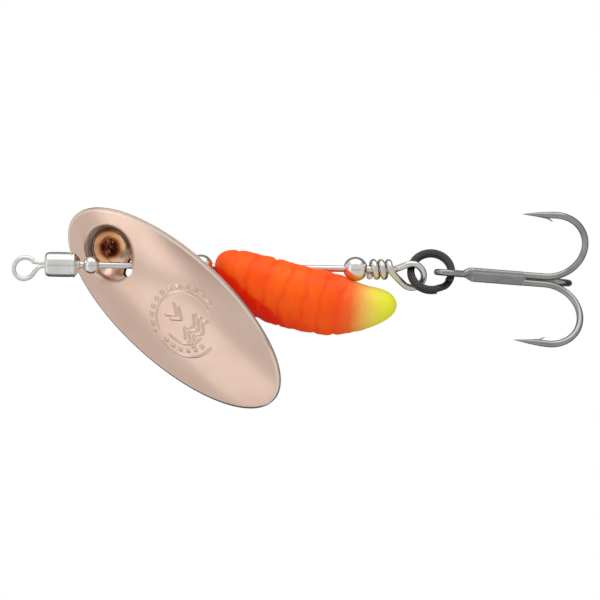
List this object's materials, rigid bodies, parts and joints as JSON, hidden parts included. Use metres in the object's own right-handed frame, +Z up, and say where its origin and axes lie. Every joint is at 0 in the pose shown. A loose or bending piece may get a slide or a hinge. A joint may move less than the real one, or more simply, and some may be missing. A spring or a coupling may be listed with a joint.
{
  "type": "inline spinner",
  "caption": "Inline spinning lure: swivel line eye, wire shaft, domed through-holed blade, ribbed grub body and a brazed treble hook on a split ring.",
  "frame": {"origin": "centre of the line eye's hole, where the fishing line ties on", "axes": "+X from the line eye along the shaft to the treble hook, +Z up as the lure is shown, +Y along the line eye's hole, away from the domed face of the blade"},
  "size_m": [0.0577, 0.0138, 0.0201],
  "materials": {
    "swivel_steel": "satin nickel plate",
    "shaft_steel": "bright drawn stainless wire",
    "bead_nickel": "polished nickel plate",
    "blade_copper": "polished pale copper plate",
    "body_paint": "glossy fluorescent paint, orange fading to yellow at the tail",
    "ring_black": "black nickel, satin",
    "hook_steel": "tin-grey plate, satin",
    "braze_metal": "dull plate over brazing metal"
  },
  "bodies": {
    "line_eye": {"line_eye": "swivel_steel"},
    "swivel_barrel": {"swivel_barrel": "swivel_steel"},
    "shaft": {"shaft_wire": "shaft_steel"},
    "front_bead": {"front_bead": "bead_nickel"},
    "blade": {"blade": "blade_copper"},
    "blade_bead": {"blade_bead": "bead_nickel"},
    "grub_body": {"grub_body": "body_paint"},
    "rear_bead": {"rear_bead": "bead_nickel"},
    "split_ring": {"split_ring": "ring_black"},
    "treble": {"double_hook": "hook_steel", "single_hook": "hook_steel", "hook_braze": "braze_metal"}
  },
  "joints": [
    {"name": "swivel_spin", "type": "hinge", "parent": "line_eye", "child": "swivel_barrel", "pos_m": [0.003, 0, 0.00043], "axis": [1, 0, 0], "continuous": true},
    {"name": "shaft_spin", "type": "hinge", "parent": "swivel_barrel", "child": "shaft", "pos_m": [0.0045, 0, 0.00043], "axis": [1, 0, 0], "continuous": true},
    {"name": "blade_spin", "type": "hinge", "parent": "shaft", "child": "front_bead", "pos_m": [0.0067, 0, 0.00043], "axis": [1, 0, 0], "continuous": true},
    {"name": "blade_flap", "type": "hinge", "parent": "front_bead", "child": "blade", "pos_m": [0.0105, 0, 0.00043], "axis": [0, 1, 0], "range_deg": [0, 25]},
    {"name": "bead_slide", "type": "slide", "parent": "shaft", "child": "blade_bead", "axis": [1, 0, 0], "range_m": [-0.0025, 0]},
    {"name": "body_spin", "type": "hinge", "parent": "shaft", "child": "grub_body", "pos_m": [0.028, 0, 0.00043], "axis": [1, 0, 0], "continuous": true},
    {"name": "rear_bead_spin", "type": "hinge", "parent": "shaft", "child": "rear_bead", "pos_m": [0.0331, 0, 0.00043], "axis": [1, 0, 0], "continuous": true},
    {"name": "ring_swing", "type": "hinge", "parent": "shaft", "child": "split_ring", "pos_m": [0.03862, 0, 0.0003], "axis": [0, 1, 0], "range_deg": [-25, 25]},
    {"name": "treble_swing", "type": "hinge", "parent": "split_ring", "child": "treble", "pos_m": [0.04268, -0.00003, 0.00028], "axis": [0, 0, 1], "range_deg": [-40, 40]}
  ]
}
